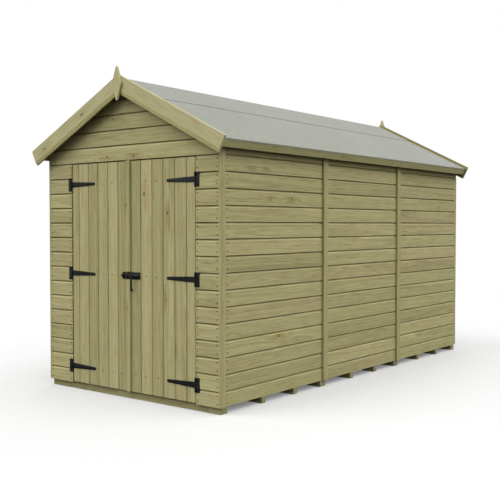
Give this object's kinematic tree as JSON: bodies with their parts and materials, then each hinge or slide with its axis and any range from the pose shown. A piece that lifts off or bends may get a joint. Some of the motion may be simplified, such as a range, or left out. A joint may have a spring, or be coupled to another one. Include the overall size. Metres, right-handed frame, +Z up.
{
  "type": "wooden garden shed",
  "caption": "Long timber garden shed with a felted pitched roof, bargeboards with diamond finials, and double doors on tee hinges held by a sliding bolt.",
  "frame": {"origin": "ground level, midway across the shed under the ridge and midway along its whole length", "axes": "+Z up, +Y from the door end towards the back, +X towards the right when facing the doors"},
  "size_m": [1.98, 3.856, 2.3902],
  "materials": {
    "cladding_timber": "pressure-treated softwood, pale green-brown, sawn and planed, matt",
    "framing_timber": "pressure-treated softwood, sawn, matt",
    "roof_felt": "mineral-faced bitumen roofing felt, light grey, gritty",
    "black_hardware": "black coated steel, satin"
  },
  "bodies": {
    "shed": {"back_bargeboard_left": "cladding_timber", "back_bargeboard_right": "cladding_timber", "back_corner_strips": "cladding_timber", "back_wall": "cladding_timber", "back_wall_studs": "framing_timber", "eaves_boards": "cladding_timber", "end_wall_rails": "framing_timber", "finials": "cladding_timber", "floor_boards": "framing_timber", "floor_joists": "framing_timber", "front_bargeboard_left": "cladding_timber", "front_bargeboard_right": "cladding_timber", "front_corner_strips": "cladding_timber", "front_gable": "cladding_timber", "front_panel_left": "cladding_timber", "front_panel_right": "cladding_timber", "front_wall_studs": "framing_timber", "gable_posts": "framing_timber", "gable_rafters": "framing_timber", "hinge_plates": "black_hardware", "left_wall_back": "cladding_timber", "left_wall_front": "cladding_timber", "left_wall_middle": "cladding_timber", "ridge_felt": "roof_felt", "right_wall_back": "cladding_timber", "right_wall_front": "cladding_timber", "right_wall_middle": "cladding_timber", "roof_beams": "framing_timber", "roof_left": "framing_timber", "roof_right": "framing_timber", "side_felt": "roof_felt", "side_joint_strips": "cladding_timber", "side_wall_rails": "framing_timber", "side_wall_studs": "framing_timber", "wall_heads": "framing_timber"},
    "left_door": {"left_door": "cladding_timber", "left_door_ledges": "cladding_timber", "left_door_braces": "cladding_timber", "left_hinge_straps": "black_hardware", "bolt_keeper": "black_hardware"},
    "right_door": {"right_door": "cladding_timber", "right_door_ledges": "cladding_timber", "right_door_braces": "cladding_timber", "right_hinge_straps": "black_hardware", "door_cover_strip": "cladding_timber", "bolt_plate": "black_hardware"},
    "bolt": {"bolt_rod": "black_hardware"}
  },
  "joints": [
    {"name": "left_door_hinge", "type": "hinge", "parent": "shed", "child": "left_door", "pos_m": [-0.611, -1.834, 0.895], "axis": [0, 0, -1], "range_deg": [0, 160]},
    {"name": "right_door_hinge", "type": "hinge", "parent": "shed", "child": "right_door", "pos_m": [0.663, -1.834, 0.895], "axis": [0, 0, 1], "range_deg": [0, 160]},
    {"name": "bolt_slide", "type": "slide", "parent": "right_door", "child": "bolt", "axis": [-1, 0, 0], "range_m": [0, 0.046]}
  ]
}
